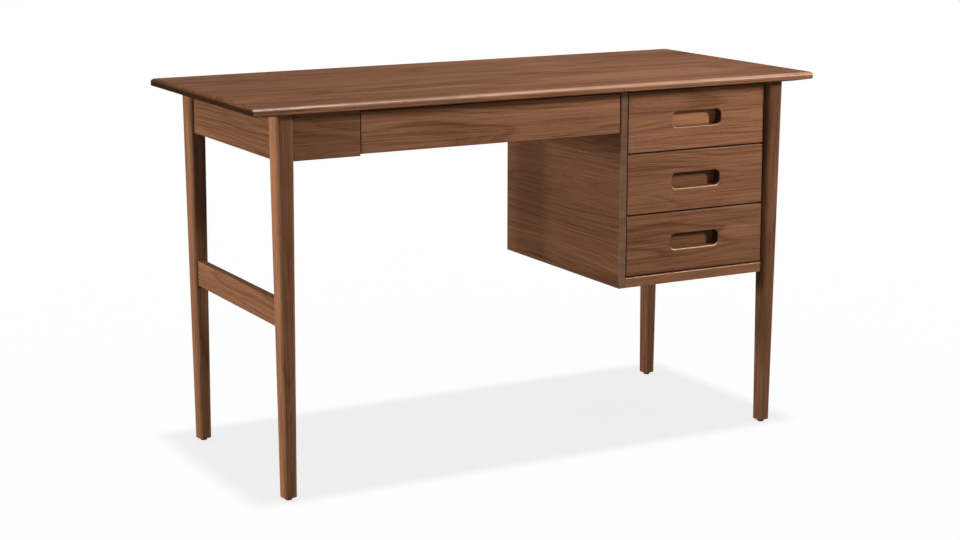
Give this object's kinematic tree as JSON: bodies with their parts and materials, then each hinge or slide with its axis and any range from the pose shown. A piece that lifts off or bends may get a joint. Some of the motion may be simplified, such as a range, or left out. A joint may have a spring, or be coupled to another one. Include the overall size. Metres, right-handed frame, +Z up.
{
  "type": "writing desk",
  "caption": "Flat-topped walnut writing desk on tapered legs, with a pencil drawer over the kneehole and a pedestal of drawers with finger slots.",
  "frame": {"origin": "on the floor, under the middle of the desk top", "axes": "+Z up, +X to the right seen from the front, +Y to the back; drawers open along -Y"},
  "size_m": [1.219, 0.533, 0.737],
  "materials": {
    "walnut": "satin oil",
    "maple": "matt",
    "glide_plastic": "matt",
    "screw_steel": "zinc plated"
  },
  "bodies": {
    "desk_frame": {"desk_top": "walnut", "leg_front_left": "walnut", "leg_back_left": "walnut", "leg_front_right": "walnut", "leg_back_right": "walnut", "side_apron_left": "walnut", "side_stretcher_left": "walnut", "back_apron": "walnut", "front_panel_left": "walnut", "drawer_divider": "walnut", "case_left_panel": "walnut", "case_right_panel": "walnut", "case_bottom": "walnut", "case_back": "walnut", "case_front_rail": "walnut", "case_back_rail": "walnut", "case_runners_left": "maple", "case_runners_right": "maple", "case_guides": "maple", "pencil_runners": "maple", "drawer_stops": "maple", "top_cleats": "maple", "leg_glides": "glide_plastic", "top_screws": "screw_steel"},
    "pencil_drawer": {"pencil_drawer_front": "walnut", "pencil_drawer_box_front": "walnut", "pencil_drawer_left_side": "maple", "pencil_drawer_right_side": "maple", "pencil_drawer_back": "maple", "pencil_drawer_bottom": "maple", "pencil_drawer_front_screws": "screw_steel"},
    "top_drawer": {"top_drawer_front": "walnut", "top_drawer_box_front": "walnut", "top_drawer_left_side": "maple", "top_drawer_right_side": "maple", "top_drawer_back": "maple", "top_drawer_bottom": "maple", "top_drawer_front_screws": "screw_steel"},
    "middle_drawer": {"middle_drawer_front": "walnut", "middle_drawer_box_front": "walnut", "middle_drawer_left_side": "maple", "middle_drawer_right_side": "maple", "middle_drawer_back": "maple", "middle_drawer_bottom": "maple", "middle_drawer_front_screws": "screw_steel"},
    "bottom_drawer": {"bottom_drawer_front": "walnut", "bottom_drawer_box_front": "walnut", "bottom_drawer_left_side": "maple", "bottom_drawer_right_side": "maple", "bottom_drawer_back": "maple", "bottom_drawer_bottom": "maple", "bottom_drawer_front_screws": "screw_steel"}
  },
  "joints": [
    {"name": "pencil_drawer_slide", "type": "slide", "parent": "desk_frame", "child": "pencil_drawer", "axis": [0, -1, 0], "range_m": [0, 0.28]},
    {"name": "top_drawer_slide", "type": "slide", "parent": "desk_frame", "child": "top_drawer", "axis": [0, -1, 0], "range_m": [0, 0.28]},
    {"name": "middle_drawer_slide", "type": "slide", "parent": "desk_frame", "child": "middle_drawer", "axis": [0, -1, 0], "range_m": [0, 0.28]},
    {"name": "bottom_drawer_slide", "type": "slide", "parent": "desk_frame", "child": "bottom_drawer", "axis": [0, -1, 0], "range_m": [0, 0.28]}
  ]
}
